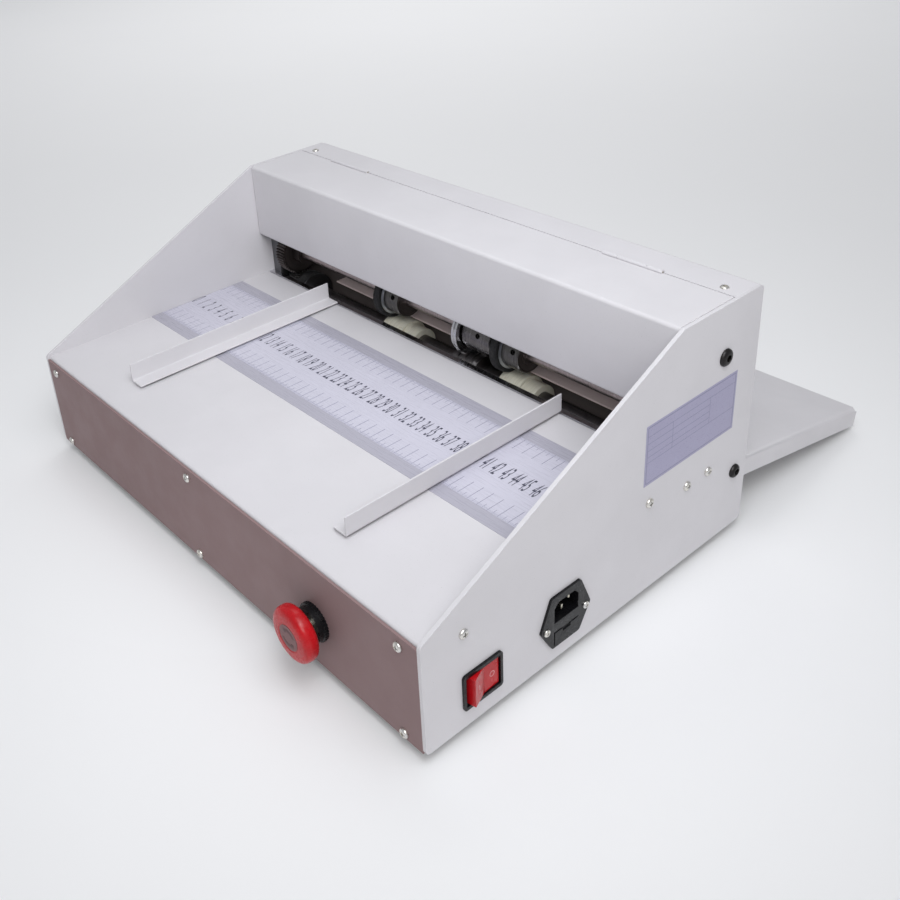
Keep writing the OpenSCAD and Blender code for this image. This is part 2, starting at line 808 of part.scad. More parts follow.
// Front part of the hood: top, front face, lower hem and end returns
module hinged_cover() {
    path = [
        [seam_y - 0.4, body_h], [hood_y, body_h], [hood_y, hood_z], [hood_y + 9, hood_z]
    ];
    end = x_in - 0.6;
    color(paint) place() difference() {
        union() {
            along_x(-end, end) polygon(bent_sheet(path, sheet_t));
            both_sides() box(end - sheet_t, end, hood_y + 1, hood_y + 11, hood_z + 3, body_h - 6);
        }
        hinge_notches(seam_y - knuckle_r - play, seam_y + 1);
    }
}

// ---- Paper guides ------------------------------------------------------

guide_y = [33.5, 254.5];
guide_lift = 2;
guide_top = table_z + 19.5;
left_guide_out = 3.5;

// L-section guide with its inner face at half the paper width
module guide() {
    inner = paper_w / 2;
    path = [
        [inner - 14, table_z + guide_lift], [inner + sheet_t, table_z + guide_lift],
        [inner + sheet_t, guide_top]
    ];
    translate([0, guide_y[1], 0]) rotate([90, 0, 0]) linear_extrude(guide_y[1] - guide_y[0])
        polygon(bent_sheet(path, sheet_t, 2.5));
}

// Magnet strips that hold a guide to the table
module guide_magnets() {
    inner = paper_w / 2;
    for (y = [guide_y[0] + 10, guide_y[1] - 40])
        box(inner - 12, inner - 2, y, y + 30, table_z + 0.7, table_z + guide_lift);
}

module left_guide() {
    color(paint) place() translate([-left_guide_out, 0, 0]) mirror([1, 0, 0]) guide();
}
module right_guide() { color(paint) place() guide(); }
module left_guide_magnets() {
    color([0.2, 0.2, 0.2]) place() translate([-left_guide_out, 0, 0]) mirror([1, 0, 0])
        guide_magnets();
}
module right_guide_magnets() { color([0.2, 0.2, 0.2]) place() guide_magnets(); }

// ---- Output tray -------------------------------------------------------

module in_tray_frame()
    translate([0, pivot_y, pivot_z]) rotate([-tray_fall, 0, 0]) children();

tray_low = tray_top - tray_lip;
tray_front = 12;

// Shallow tray with folded-down lips and pivot ears
module output_tray() {
    channel = [
        [tray_hw, tray_low], [tray_hw, tray_top], [-tray_hw, tray_top], [-tray_hw, tray_low]
    ];
    end_lip = [[tray_l, tray_low], [tray_l, tray_top], [tray_l - 10, tray_top]];
    cheek = [
        [-20, tray_low + 5], [-10, tray_low], [tray_front + 0.5, tray_low],
        [tray_front + 0.5, tray_top], [-20, tray_top]
    ];
    color(paint) place() in_tray_frame() difference() {
        union() {
            translate([0, tray_l - 4, 0]) rotate([90, 0, 0]) linear_extrude(tray_l - 4 - tray_front)
                polygon(bent_sheet(channel, sheet_t, 3.5));
            along_x(3.6 - tray_hw, tray_hw - 3.6) polygon(bent_sheet(end_lip, sheet_t, 3.5));
            box(-240, 240, -20, tray_front + 1, tray_top - sheet_t, tray_top);
            both_sides() {
                along_x(tray_hw - sheet_t, tray_hw) polygon(cheek);
                rod_x(tray_hw - sheet_t, tray_hw, [0, 0], 9);
                box(tray_hw - sheet_t, tray_hw, tray_l - 5, tray_l - 0.4, tray_low, tray_top - 3.5);
            }
        }
        both_sides() rod_x(tray_hw - 3, tray_hw + 1, [0, 0], 4 + run_gap);
    }
}

// Shoulder bolts, spacers and nuts that carry the tray
module tray_pivots() {
    color([0.2, 0.2, 0.22]) place() both_sides() {
        on_right_plate(pivot_at) button_bolt(head_r = 5.8, head_h = 3.2, shank_l = 17);
        difference() {
            rod_x(tray_hw + 0.3, x_in, pivot_at, 7);
            rod_x(tray_hw, x_in + 1, pivot_at, 3.9);
        }
        difference() {
            translate([x_out - 15.5, pivot_at[0], pivot_at[1]]) rotate([0, 90, 0])
                cylinder(r = 7.5, h = tray_hw - sheet_t - 0.3 - x_out + 15.5, $fn = 6);
            rod_x(x_out - 17, tray_hw, pivot_at, 3.9);
        }
    }
}

// Pins over the front ends of the tray's lips, which hold it at rest
module tray_stop_pins() {
    at = [
        pivot_y - 16 * cos(tray_fall) + 6 * sin(tray_fall),
        pivot_z + 16 * sin(tray_fall) + 6 * cos(tray_fall)
    ];
    color(steel) place() both_sides() rod_x(x_in - 6, x_in, at, 3);
}

left_side_plate();
right_side_plate();
base_plate();
front_panel();
feed_table();
table_edge_strip();
scale_plate();
exit_plate();
rear_cover();
rear_skirt();
tie_bar();
rubber_feet();
foot_screws();
panel_screws();
side_screws();
frame_bolts();
tray_pivots();
tray_stop_pins();
left_bearing_block();
right_bearing_block();
ball_bearings();
upper_shaft();
lower_shaft();
left_feed_tyre();
left_feed_hub();
right_feed_tyre();
right_feed_hub();
creasing_head();
crease_anvil();
left_nylon_roller();
right_nylon_roller();
upper_gear();
lower_gear();
driven_pulley();
motor_pulley();
drive_belt();
gear_motor();
motor_bracket();
control_board();
rating_label();
rocker_housing();
rocker();
inlet_housing();
inlet_pins();
inlet_screws();
fuse_drawer();
fuse();
estop_collar();
estop_contact_block();
estop_plunger();
estop_head();
hinge_fixed_leaves();
hinge_moving_leaves();
hinge_pins();
hinged_cover();
left_guide();
right_guide();
left_guide_magnets();
right_guide_magnets();
output_tray();
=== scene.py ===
import json
import math

import bmesh
import bpy
from bpy.props import FloatProperty, FloatVectorProperty, IntProperty
from mathutils import Matrix, Vector


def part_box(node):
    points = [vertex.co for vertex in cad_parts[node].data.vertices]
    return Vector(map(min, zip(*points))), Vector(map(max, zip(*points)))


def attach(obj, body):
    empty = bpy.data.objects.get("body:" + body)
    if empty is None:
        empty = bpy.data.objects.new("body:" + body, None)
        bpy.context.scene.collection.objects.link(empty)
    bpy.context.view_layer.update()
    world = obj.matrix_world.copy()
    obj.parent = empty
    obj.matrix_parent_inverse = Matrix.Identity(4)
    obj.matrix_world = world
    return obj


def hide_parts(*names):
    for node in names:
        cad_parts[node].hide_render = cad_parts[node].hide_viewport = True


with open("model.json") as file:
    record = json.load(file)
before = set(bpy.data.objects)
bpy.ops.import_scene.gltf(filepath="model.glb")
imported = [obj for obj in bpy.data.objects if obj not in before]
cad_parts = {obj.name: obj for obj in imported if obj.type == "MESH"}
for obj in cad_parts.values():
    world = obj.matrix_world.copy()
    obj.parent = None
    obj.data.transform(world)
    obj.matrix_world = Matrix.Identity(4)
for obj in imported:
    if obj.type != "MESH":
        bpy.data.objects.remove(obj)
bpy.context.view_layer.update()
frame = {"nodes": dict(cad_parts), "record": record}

bl_info = {
    "name": "Desktop paper creasing machine",
    "version": (1, 0, 0),
    "blender": (4, 5, 0),
    "location": "View3D > Sidebar > Creaser",
    "description": "Finishes the packed model of a desktop paper creasing machine",
    "category": "Object",
}

MM = 0.001
FRONT_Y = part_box("front_panel")[0].y
PLATE_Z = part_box("left_side_plate")[0].z
SHAFT_Y = (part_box("upper_shaft")[0].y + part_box("upper_shaft")[1].y) / 2
UPPER_Z = (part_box("upper_shaft")[0].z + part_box("upper_shaft")[1].z) / 2
LOWER_Z = (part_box("lower_shaft")[0].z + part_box("lower_shaft")[1].z) / 2
X_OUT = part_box("right_side_plate")[1].x
STOP_X = sum(corner.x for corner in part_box("estop_head")) / 2
STOP_Z = sum(corner.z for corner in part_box("estop_head")) / 2
BODY_OF = {node: body for body, nodes in frame["record"]["behaviour"]["bodies"].items()
           for node in nodes}
SLOT_OF = {part["node"]: part["material_slot"] for part in frame["record"]["subparts"]}

# Millimetres from the front panel's face and the plates' lower edge, as at() takes them
RULER_ZERO_X = -255.5
# Corners of a dark board under the exit plate, put there as painted shade over the tray behind it
SHADE_BOARD_LOW, SHADE_BOARD_HIGH = (-255.5, 302.2, 50), (255.5, 303.2, 89.4)
ROCKER_PIVOT_Y = 50.8
SET_SCREWS_X = (-63, 48, 89)
CAMERA_PLACE = (627.9, -304.2, 562.8)
CAMERA_TURN = (62.696, 4.067, 50.156)  # degrees
CAMERA_SHIFT = (0.0926, -0.1478)

# Metres
INK_THICK = 0.00002
STRIPE_WIDTH = 0.0125
ROCKER_PIVOT_DEPTH = 0.0045


def at(x, y, z):
    """A point given in millimetres from the front panel's face and the plates' lower edge."""
    return Vector((x * MM, y * MM + FRONT_Y, z * MM + PLATE_Z))


# ---- Settings shown in the sidebar ---------------------------------------


class PaintSettings(bpy.types.PropertyGroup):
    """Colours and surface of the painted sheet metal."""

    coat: FloatVectorProperty(
        name="Coat", description="Colour of the powder coat on the body",
        default=(0.60, 0.585, 0.605), size=3, subtype="COLOR", min=0, max=1)
    peel: FloatProperty(
        name="Orange peel", description="Depth of the coat's fine waves",
        default=0.00002, min=0, max=0.0002, precision=6, subtype="DISTANCE", unit="LENGTH")
    edge: FloatProperty(
        name="Edge radius", description="Radius of the sheet's broken edges",
        default=0.0005, min=0.0001, max=0.001, precision=5, subtype="DISTANCE", unit="LENGTH")


class ScaleSettings(bpy.types.PropertyGroup):
    """Print on the ruled scale plate."""

    plate: FloatVectorProperty(
        name="Plate", description="Colour of the middle of the scale plate",
        default=(0.53, 0.52, 0.60), size=3, subtype="COLOR", min=0, max=1)
    stripe: FloatVectorProperty(
        name="Stripe", description="Colour of the two stripes along the plate",
        default=(0.38, 0.37, 0.43), size=3, subtype="COLOR", min=0, max=1)
    digit: FloatProperty(
        name="Digit height", description="Height of the numbers along the feed direction",
        default=0.017, min=0.006, max=0.020, precision=4, subtype="DISTANCE", unit="LENGTH")
    last: IntProperty(
        name="Last number", description="Last centimetre that the ruler shows",
        default=51, min=10, max=51)


class TrimSettings(bpy.types.PropertyGroup):
    """Colours of the plastic trim, the label and the nylon rollers."""

    red: FloatVectorProperty(
        name="Red", description="Colour of the emergency stop and the rocker",
        default=(0.42, 0.006, 0.010), size=3, subtype="COLOR", min=0, max=1)
    black: FloatVectorProperty(
        name="Black", description="Colour of the black moulded plastic",
        default=(0.005, 0.005, 0.006), size=3, subtype="COLOR", min=0, max=1)
    label: FloatVectorProperty(
        name="Label", description="Colour of the rating label",
        default=(0.31, 0.295, 0.43), size=3, subtype="COLOR", min=0, max=1)
    nylon: FloatVectorProperty(
        name="Nylon", description="Colour of the lower rollers",
        default=(0.66, 0.64, 0.54), size=3, subtype="COLOR", min=0, max=1)


class StageSettings(bpy.types.PropertyGroup):
    """Floor, light and camera."""

    floor: FloatVectorProperty(
        name="Floor", description="Colour of the floor",
        default=(0.84, 0.84, 0.845), size=3, subtype="COLOR", min=0, max=1)
    key: FloatProperty(
        name="Key light", description="Power of the main soft light, in watts",
        default=21.0, min=0, max=500)
    fill: FloatProperty(
        name="Fill light", description="Power of the small light over the feed table, in watts",
        default=1.1, min=0, max=50)
    back: FloatProperty(
        name="Back light", description="Power of the soft light over the far floor, in watts",
        default=15.0, min=0, max=500)
    sky: FloatProperty(
        name="Room light", description="Strength of the even light of the room",
        default=0.46, min=0, max=3)
    lens: FloatProperty(
        name="Lens", description="Focal length on a 36 mm sensor",
        default=42.82, min=20, max=120, subtype="DISTANCE_CAMERA")


# ---- Materials ------------------------------------------------------------


class Finish:
    """A material built from nodes on coordinates that move with the piece."""

    def __init__(self, name, roughness=0.5, metallic=0.0):
        self.material = bpy.data.materials.new(name)
        self.material.use_nodes = True
        self.tree = self.material.node_tree
        self.shader = self.tree.nodes["Principled BSDF"]
        self.put("Roughness", roughness)
        self.put("Metallic", metallic)
        coordinates = self.tree.nodes.new("ShaderNodeTexCoord")
        self.place = coordinates.outputs["Object"]

    def node(self, kind, inputs=None, **settings):
        made = self.tree.nodes.new(kind)
        for name, value in settings.items():
            setattr(made, name, value)
        for name, value in (inputs or {}).items():
            self.feed(made.inputs[name], value)
        return made

    def feed(self, socket, value):
        if isinstance(value, bpy.types.NodeSocket):
            self.tree.links.new(value, socket)
        else:
            socket.default_value = value

    def put(self, name, value):
        if name == "Base Color" and not isinstance(value, bpy.types.NodeSocket):
            value = (*value[:3], 1)
        self.feed(self.shader.inputs[name], value)

    def stretched(self, scale, centre=(0, 0, 0)):
        """Coordinates measured from centre and scaled on each axis."""
        moved = self.node("ShaderNodeVectorMath", {0: self.place, 1: tuple(centre)},
                          operation="SUBTRACT").outputs[0]
        return self.node("ShaderNodeVectorMath", {0: moved, 1: tuple(scale)},
                         operation="MULTIPLY").outputs[0]

    def noise(self, scale, detail=3.0, rough=0.55, vector=None, warp=0.0):
        """Noise with this many cells to the metre."""
        return self.node("ShaderNodeTexNoise", {
            "Vector": vector or self.place, "Scale": scale, "Detail": detail,
            "Roughness": rough, "Distortion": warp}).outputs["Fac"]

    def ramp(self, value, low, high):
        """Smooth step between two (place, value) stops, as a grey value."""
        made = self.node("ShaderNodeMapRange", {
            "Value": value, "From Min": low[0], "From Max": high[0],
            "To Min": low[1], "To Max": high[1]}, interpolation_type="SMOOTHSTEP")
        return made.outputs["Result"]

    def sum(self, a, b, operation="ADD"):
        return self.node("ShaderNodeMath", {0: a, 1: b}, operation=operation).outputs[0]

    def blend(self, share, a, b, how="MIX"):
        """Colour a turning into colour b by share."""
        made = self.node("ShaderNodeMix", data_type="RGBA", blend_type=how)
        self.feed(made.inputs[0], share)
        for socket, colour in ((made.inputs[6], a), (made.inputs[7], b)):
            if not isinstance(colour, bpy.types.NodeSocket):
                colour = (*colour[:3], 1)
            self.feed(socket, colour)
        return made.outputs[2]

    def bump(self, height, distance, strength=1.0):
        """Adds relief of this depth, in metres, over what is there."""
        inputs = {"Height": height, "Distance": distance, "Strength": strength}
        below = self.shader.inputs["Normal"]
        if below.is_linked:
            inputs["Normal"] = below.links[0].from_socket
        self.put("Normal", self.node("ShaderNodeBump", inputs).outputs["Normal"])

    def edge_share(self, radius=0.0008):
        """1 on sharp edges and corners, 0 on flat faces."""
        soft = self.node("ShaderNodeBevel", {"Radius": radius}, samples=4).outputs["Normal"]
        true = self.node("ShaderNodeNewGeometry").outputs["Normal"]
        same = self.node("ShaderNodeVectorMath", {0: soft, 1: true}, operation="DOT_PRODUCT")
        return self.ramp(same.outputs["Value"], (0.995, 0.0), (0.90, 1.0))


def shade(colour, factor):
    return tuple(min(1.0, c * factor) for c in colour[:3])


def powder_coat(name, colour, peel, edge_wear_and_highlight=0.6, shine=0.45):
    """Fine-textured powder coat: orange peel, faint clouds, edges lightened by rubbed wear and a
    painted highlight, and dust.
    """
    f = Finish(name)
    clouds = f.ramp(f.noise(14, 4), (0.35, 0.0), (0.68, 1.0))
    base = f.blend(clouds, shade(colour, 0.982), shade(colour, 1.018))
    rubbed = f.ramp(f.noise(60, 5, 0.7, warp=0.6), (0.60, 0.0), (0.74, 0.16))
    base = f.blend(rubbed, base, shade(colour, 0.90))
    specks = f.ramp(f.noise(1500, 1), (0.76, 0.0), (0.80, 0.5))
    base = f.blend(specks, base, (0.16, 0.15, 0.14))
    # Broken edges made lighter: partly rubbed wear, partly a painted highlight along the edges.
    edge = f.sum(f.edge_share(), f.ramp(f.noise(180, 4), (0.42, 0.15), (0.62, 1.0)), "MULTIPLY")
    base = f.blend(f.sum(edge, edge_wear_and_highlight, "MULTIPLY"), base, shade(colour, 1.30))
    f.put("Base Color", base)
    f.put("Roughness", f.sum(f.ramp(f.noise(35, 4), (0.3, 0.40), (0.7, 0.54)),
                             f.sum(f.noise(900, 2), 0.05, "MULTIPLY")))
    f.put("Specular IOR Level", shine)
    f.bump(f.noise(420, 2, 0.5), peel * 2.2, 0.8)
    f.bump(f.noise(1900, 2, 0.6), peel, 0.7)
    return f.material


def rolled_sheet(name, colour, along, roughness=0.34, metallic=1.0):
    """Rolled or brushed metal with its grain along one axis."""
    f = Finish(name, roughness, metallic)
    stretch = [900, 900, 900]
    stretch["XYZ".index(along)] = 12
    grain = f.noise(1, 4, 0.6, f.stretched(stretch))
    base = f.blend(f.ramp(grain, (0.3, 0.0), (0.7, 1.0)), shade(colour, 0.82), shade(colour, 1.08))
    stain = f.ramp(f.noise(24, 5, 0.65, warp=0.8), (0.56, 0.0), (0.76, 0.35))
    f.put("Base Color", f.blend(stain, base, shade(colour, 0.6)))
    f.put("Roughness", f.ramp(grain, (0.25, roughness - 0.08), (0.75, roughness + 0.10)))
    f.bump(grain, 0.00001, 0.6)
    return f.material


def turned_metal(name, colour, centre, roughness=0.26, rings=700, rim=None):
    """Lathe-turned metal: fine rings round a shaft along X, perhaps bright beyond a radius."""
    f = Finish(name, roughness, 1.0)
    moved = f.node("ShaderNodeVectorMath", {0: f.place, 1: tuple(centre)}, operation="SUBTRACT")
    parts = f.node("ShaderNodeSeparateXYZ", {0: moved.outputs[0]})
    y, z = parts.outputs[1], parts.outputs[2]
    radius = f.sum(f.sum(f.sum(y, y, "MULTIPLY"), f.sum(z, z, "MULTIPLY")), 0.5, "POWER")
    line = f.node("ShaderNodeCombineXYZ", {0: parts.outputs[0], 1: radius}).outputs[0]
    ring = f.noise(rings, 3, 0.6, line)
    fine = f.noise(rings * 4, 2, 0.6, line)
    base = f.blend(f.ramp(ring, (0.3, 0.0), (0.7, 1.0)), shade(colour, 0.78), shade(colour, 1.08))
    grime = f.ramp(f.noise(90, 5, 0.7, warp=0.7), (0.54, 0.0), (0.72, 0.45))
    base = f.blend(grime, base, shade(colour, 0.45))
    if rim is not None:
        outside = f.ramp(radius, (rim[0], 0.0), (rim[0] + 0.0002, 1.0))
        base = f.blend(outside, base, rim[1])
    f.put("Base Color", base)
    f.put("Roughness", f.ramp(ring, (0.25, roughness - 0.08), (0.75, roughness + 0.12)))
    f.bump(f.sum(ring, f.sum(fine, 0.5, "MULTIPLY")), 0.00001, 0.6)
    return f.material


def plated_screw(name, colour, roughness=0.22):
    """Plated fastener with slight bluish passivation and patches of grime."""
    f = Finish(name, roughness, 1.0)
    hue = f.ramp(f.noise(260, 3), (0.3, 0.0), (0.7, 1.0))
    base = f.blend(hue, shade(colour, 0.85), (colour[0] * 1.02, colour[1] * 1.0, colour[2] * 0.92))
    dirt = f.ramp(f.noise(700, 4, 0.7), (0.56, 0.0), (0.70, 0.5))
    f.put("Base Color", f.blend(dirt, base, shade(colour, 0.35)))
    f.put("Roughness", f.ramp(f.noise(900, 3), (0.3, roughness - 0.05), (0.7, roughness + 0.16)))
    f.bump(f.noise(1600, 2), 0.00001, 0.7)
    return f.material


def rubber(name, colour, dust=0.25, centre=None):
    """Matt rubber with pores, a bloom of dust and, on a wheel, fine grinding rings."""
    f = Finish(name, 0.78)
    f.put("Specular IOR Level", 0.35)
    bloom = f.ramp(f.noise(130, 5, 0.7, warp=0.4), (0.45, 0.0), (0.72, dust))
    base = f.blend(f.noise(900, 2), shade(colour, 0.7), shade(colour, 1.4))
    f.put("Base Color", f.blend(bloom, base, (0.20, 0.19, 0.18)))
    f.put("Roughness", f.ramp(f.noise(420, 3), (0.3, 0.66), (0.7, 0.9)))
    f.bump(f.noise(2400, 3, 0.6), 0.00003, 0.8)
    if centre is not None:
        f.bump(f.noise(1, 2, 0.5, f.stretched((3200, 30, 30), centre)), 0.00003, 0.6)
    return f.material


def moulded(name, colour, roughness=0.28, spark=0.0):
    """Moulded plastic: fine spark-eroded grain, handling marks and flow clouds."""
    f = Finish(name, roughness)
    f.put("Specular IOR Level", 0.28)
    f.put("Coat Weight", 0.03)
    f.put("Coat Roughness", 0.2)
    cloud = f.ramp(f.noise(70, 4), (0.3, 0.0), (0.7, 1.0))
    base = f.blend(cloud, shade(colour, 0.90), shade(colour, 1.10))
    scuff = f.ramp(f.noise(1, 4, 0.7, f.stretched((90, 900, 300))), (0.66, 0.0), (0.78, 0.25))
    f.put("Base Color", f.blend(scuff, base, [c * 0.9 + 0.02 for c in colour[:3]]))
    f.put("Roughness", f.ramp(f.noise(240, 4), (0.3, roughness - 0.07), (0.7, roughness + 0.12)))
    f.bump(f.noise(1500 + spark * 1200, 2, 0.5), 0.00001 + 0.00003 * spark, 0.7)
    return f.material


def turned_nylon(name, colour):
    """Machined nylon: creamy, slightly translucent, with tool rings and grey rub marks."""
    f = Finish(name, 0.42)
    f.put("Subsurface Weight", 0.12)
    f.put("Subsurface Radius", (0.004, 0.003, 0.002))
    f.put("Subsurface Scale", 1.0)
    ring = f.noise(1, 3, 0.6, f.stretched((1500, 40, 40)))
    base = f.blend(f.ramp(ring, (0.3, 0.0), (0.7, 1.0)), shade(colour, 0.90), shade(colour, 1.06))
    rub = f.ramp(f.noise(120, 5, 0.7, warp=0.5), (0.52, 0.0), (0.70, 0.5))
    f.put("Base Color", f.blend(rub, base, (0.38, 0.34, 0.27)))
    f.bump(ring, 0.00003, 0.7)
    return f.material


def printed_sheet(name, colour, roughness=0.33):
    """Laminated print: even ink with a faint dot screen, fibres and fine scratches."""
    f = Finish(name, roughness)
    f.put("Coat Weight", 0.3)
    f.put("Coat Roughness", 0.12)
    dots = f.node("ShaderNodeTexVoronoi", {"Vector": f.place, "Scale": 2600.0}).outputs["Distance"]
    base = f.blend(f.ramp(dots, (0.1, 0.0), (0.5, 0.5)), shade(colour, 1.04), shade(colour, 0.95))
    worn = f.ramp(f.noise(38, 5, 0.7, warp=0.5), (0.50, 0.0), (0.75, 0.3))
    f.put("Base Color", f.blend(worn, base, shade(colour, 1.14)))
    scratch = f.noise(1, 3, 0.7, f.stretched((40, 1300, 1300)))
    f.put("Roughness", f.ramp(scratch, (0.35, roughness - 0.06), (0.72, roughness + 0.15)))
    f.bump(f.noise(700, 2), 0.00001, 0.6)
    return f.material


def ink(name, colour):
    """Screen-printed ink with slightly uneven cover."""
    f = Finish(name, 0.5)
    thin = f.ramp(f.noise(900, 4, 0.7), (0.52, 0.0), (0.72, 0.35))
    f.put("Base Color", f.blend(thin, colour, [c * 0.6 + 0.25 for c in colour[:3]]))
    f.bump(f.noise(2600, 2), 0.000006, 0.6)
    return f.material


def circuit_board(name):
    """Green solder mask over a net of copper tracks, with pads."""
    f = Finish(name, 0.36)
    cell = f.node("ShaderNodeTexBrick", {
        "Vector": f.stretched((1, 1, 0)), "Scale": 90.0, "Mortar Size": 0.03,
        "Color1": (0.010, 0.11, 0.045, 1), "Color2": (0.014, 0.14, 0.055, 1),
        "Mortar": (0.03, 0.24, 0.10, 1)}, offset=0.37).outputs["Color"]
    pads = f.node("ShaderNodeTexVoronoi", {"Vector": f.place, "Scale": 210.0}).outputs["Distance"]
    f.put("Base Color", f.blend(f.ramp(pads, (0.12, 1.0), (0.08, 0.0)), (0.6, 0.6, 0.58), cell))
    f.bump(f.noise(800, 3), 0.00004, 0.7)
    return f.material


def fuse_glass(name):
    """Thin glass tube with nickel-plated caps at both ends."""
    f = Finish(name, 0.06)
    low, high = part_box("fuse")
    x = f.node("ShaderNodeSeparateXYZ", {0: f.place}).outputs[0]
    middle = (low.x + high.x) / 2
    reach = f.node("ShaderNodeMath", {0: x, 1: middle}, operation="SUBTRACT").outputs[0]
    reach = f.node("ShaderNodeMath", {0: reach}, operation="ABSOLUTE").outputs[0]
    cap = f.ramp(reach, (0.0048, 0.0), (0.0050, 1.0))
    scratch = f.noise(900, 3)
    f.put("Base Color", f.blend(cap, (0.90, 0.95, 0.93), (0.72, 0.72, 0.70)))
    f.put("Metallic", cap)
    f.put("Roughness", f.sum(f.sum(cap, 0.2, "MULTIPLY"), f.sum(scratch, 0.08, "MULTIPLY")))
    f.put("Transmission Weight", f.sum(1.0, cap, "SUBTRACT"))
    return f.material


def bare_floor(name, colour):
    """Plain pale floor with the faintest mottle."""
    f = Finish(name, 0.6)
    f.put("Base Color", f.blend(f.noise(3, 3), shade(colour, 0.985), shade(colour, 1.01)))
    f.put("Specular IOR Level", 0.25)
    return f.material


PALE_STEEL = (0.60, 0.60, 0.62)
MIXES = {
    "grey_paint": lambda s: powder_coat("grey_paint", s.creaser_paint.coat, s.creaser_paint.peel),
    # Painted shade and a painted warm reflection: the front panel's coat is made darker and brown.
    "front_painted_shade": lambda s: powder_coat("front_painted_shade", (0.245, 0.168, 0.168), 0.00002, 0.6, 0.12),
    # Painted warm light: the exit plate's coat is made lighter and warm tan where it lies in shade
    # under the hood.
    "exit_paint": lambda s: powder_coat("exit_paint", (0.82, 0.68, 0.65), s.creaser_paint.peel),
    # Painted shade: dark brown-grey for the board under the exit plate.
    "painted_shade_dark": lambda s: powder_coat("painted_shade_dark", (0.17, 0.145, 0.14), 0.00002, 0.1),
    "motor_metal": lambda s: powder_coat("motor_metal", (0.07, 0.072, 0.078), 0.00004, 0.15),
    "zinc_sheet": lambda s: rolled_sheet("zinc_sheet", (0.30, 0.30, 0.31), "X", 0.42),
    "polished_strip": lambda s: rolled_sheet("polished_strip", (0.72, 0.72, 0.75), "X", 0.18),
    # Painted shade: the bearing blocks' alloy is made dark grey.
    "block_alloy": lambda s: rolled_sheet("block_alloy", (0.22, 0.22, 0.23), "Z", 0.40),
    "bright_screws": lambda s: plated_screw("bright_screws", (0.78, 0.77, 0.76)),
    "pin_metal": lambda s: plated_screw("pin_metal", (0.72, 0.69, 0.60), 0.2),
    "dark_bolts": lambda s: plated_screw("dark_bolts", (0.045, 0.043, 0.045), 0.34),
    # Painted reflection: the creasing head's boss is made dark, like polished steel mirroring the
    # dark interior. The disc beyond the rim keeps pale steel.
    "head_steel": lambda s: turned_metal("head_steel", (0.17, 0.16, 0.16), upper_axis(), 0.22,
                                         rim=(0.0178, PALE_STEEL)),
    # Painted reflection: the upper shaft's steel is tinted pinkish brown, like a shaft mirroring
    # the brown exit plate below it.
    "upper_steel": lambda s: turned_metal("upper_steel", (0.42, 0.36, 0.35), upper_axis(), 0.34),
    "lower_steel": lambda s: turned_metal("lower_steel", (0.20, 0.19, 0.19), lower_axis(), 0.36),
    # Painted reflection and highlight: the hubs are made dark, like polished metal mirroring the
    # dark interior, with a pale bluish painted highlight beyond the rim radius.
    "hub_alloy": lambda s: turned_metal("hub_alloy", (0.13, 0.125, 0.12), upper_axis(), 0.30,
                                        rim=(0.0176, (0.42, 0.44, 0.48))),
    "pulley_alloy": lambda s: turned_metal("pulley_alloy", (0.16, 0.16, 0.17), lower_axis(), 0.36),
    "gear_steel": lambda s: turned_metal("gear_steel", (0.12, 0.105, 0.10), upper_axis(), 0.40),
    "lower_gear_steel": lambda s: turned_metal("lower_gear_steel", (0.26, 0.25, 0.25),
                                               lower_axis(), 0.34),
    "wheel_rubber": lambda s: rubber("wheel_rubber", (0.009, 0.009, 0.010), 0.10, upper_axis()),
    "foot_rubber": lambda s: rubber("foot_rubber", (0.018, 0.018, 0.018), 0.3),
    "belt_rubber": lambda s: rubber("belt_rubber", (0.015, 0.015, 0.016), 0.15),
    "magnet": lambda s: rubber("magnet", (0.030, 0.028, 0.027), 0.12),
    "nylon": lambda s: turned_nylon("nylon", s.creaser_trim.nylon),
    "board": lambda s: circuit_board("board"),
    "label": lambda s: printed_sheet("label", s.creaser_trim.label),
    "black_plastic": lambda s: moulded("black_plastic", s.creaser_trim.black, 0.30, 0.5),
    "rocker_red": lambda s: moulded("rocker_red", s.creaser_trim.red, 0.16),
    "stop_red": lambda s: moulded("stop_red", s.creaser_trim.red, 0.24),
    "stop_disc": lambda s: printed_sheet("stop_disc", (0.125, 0.030, 0.031), 0.5),
    "fuse_glass": lambda s: fuse_glass("fuse_glass"),
    "scale_print": lambda s: scale_print("scale_print", s.creaser_scale),
    "dark_ink": lambda s: ink("dark_ink", (0.045, 0.045, 0.075)),
    "line_ink": lambda s: ink("line_ink", (0.17, 0.17, 0.26)),
    "arrow_ink": lambda s: ink("arrow_ink", (0.06, 0.010, 0.012)),
    "mark_ink": lambda s: ink("mark_ink", (0.62, 0.30, 0.31)),
    "stage_floor": lambda s: bare_floor("stage_floor", s.creaser_stage.floor),
}


def upper_axis():
    return Vector((0, SHAFT_Y, UPPER_Z))


def lower_axis():
    return Vector((0, SHAFT_Y, LOWER_Z))


MIXED = {}


def finish(name):
    """The material of this name, mixed when it is first asked for."""
    if name not in MIXED:
        MIXED[name] = MIXES[name](bpy.context.scene)
    return MIXED[name]


